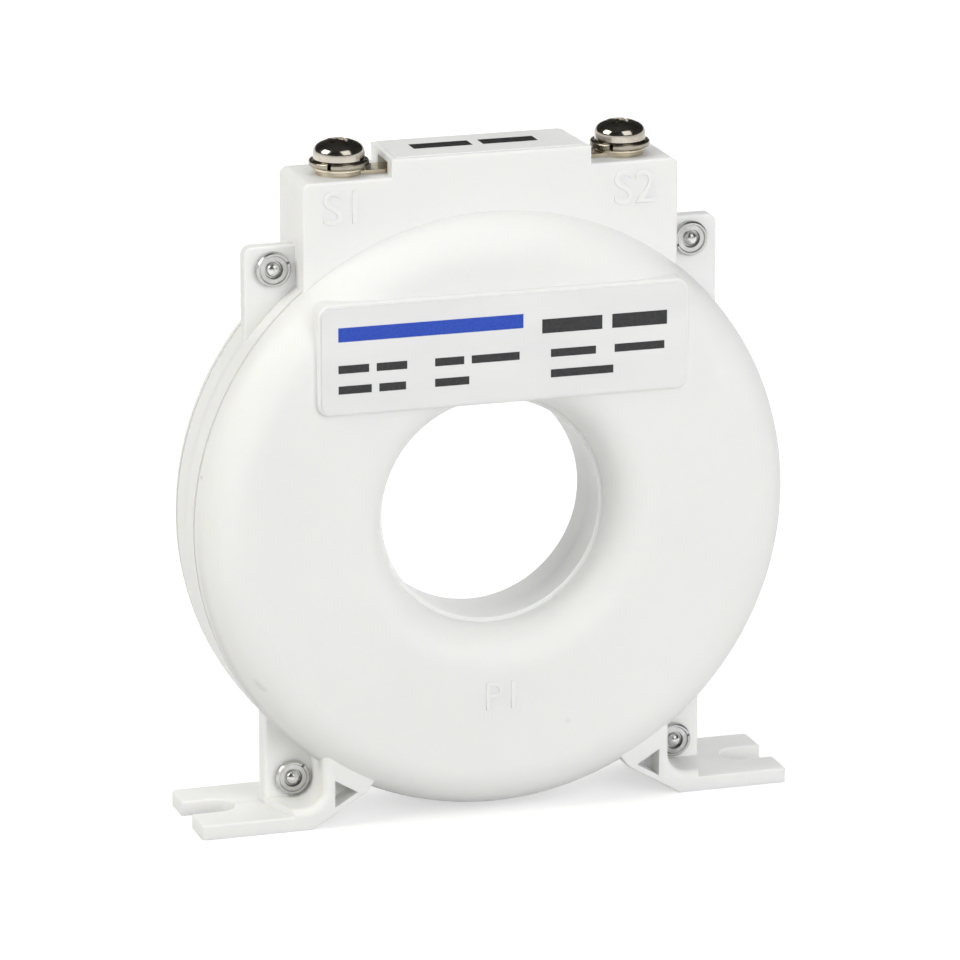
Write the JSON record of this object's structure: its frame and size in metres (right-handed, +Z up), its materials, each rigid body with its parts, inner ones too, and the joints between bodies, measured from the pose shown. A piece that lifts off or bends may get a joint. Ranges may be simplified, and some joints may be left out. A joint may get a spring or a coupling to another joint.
{
  "type": "current transformer",
  "caption": "Ring-type low-voltage current transformer: riveted white plastic case round a conductor window, with slotted feet and screw terminals on top.",
  "frame": {"origin": "middle of the foot plane: under the window's centre, at the mid-plane where the two case halves meet", "axes": "+Z up from the feet to the terminals, +X to the right seen from the labelled face, labelled face towards -Y, so the window's axis is Y"},
  "size_m": [0.0948, 0.0246, 0.1063],
  "materials": {
    "case": "satin moulded",
    "label": "printed film",
    "rivet": "satin",
    "mandrel": "zinc plated",
    "terminal": "nickel plated",
    "washer": "nickel plated",
    "nut": "zinc plated",
    "core": "annealed strip",
    "insulation": "moulded",
    "winding": "enamelled copper wire",
    "lead": "sleeved"
  },
  "bodies": {
    "case": {"front_shell": "case", "rear_shell": "case", "rating_label": "label", "top_label": "label", "rivet_sleeves": "rivet", "rivet_mandrels": "mandrel", "terminal_tab_s1": "washer", "terminal_tab_s2": "washer", "terminal_nuts": "nut", "core": "core", "core_cap_front": "insulation", "core_cap_rear": "insulation", "winding": "winding", "lead_s1": "lead", "lead_s2": "lead"},
    "washers_s1": {"spring_washer_s1": "terminal", "clamp_washer_s1": "washer"},
    "screw_s1": {"terminal_screw_s1": "terminal"},
    "washers_s2": {"spring_washer_s2": "terminal", "clamp_washer_s2": "washer"},
    "screw_s2": {"terminal_screw_s2": "terminal"}
  },
  "joints": [
    {"name": "washers_lift_s1", "type": "slide", "parent": "case", "child": "washers_s1", "axis": [0, 0, 1], "range_m": [0, 0.003]},
    {"name": "screw_turn_s1", "type": "hinge", "parent": "washers_s1", "child": "screw_s1", "pos_m": [-0.0224, 0, 0.10315], "axis": [0, 0, 1], "range_deg": [0, 1543]},
    {"name": "washers_lift_s2", "type": "slide", "parent": "case", "child": "washers_s2", "axis": [0, 0, 1], "range_m": [0, 0.003]},
    {"name": "screw_turn_s2", "type": "hinge", "parent": "washers_s2", "child": "screw_s2", "pos_m": [0.0224, 0, 0.10315], "axis": [0, 0, 1], "range_deg": [0, 1543]}
  ],
  "couplings": [
    {"joint": "screw_turn_s1", "follows": "washers_lift_s1", "rad_per_m": 8976},
    {"joint": "screw_turn_s2", "follows": "washers_lift_s2", "rad_per_m": 8976}
  ]
}
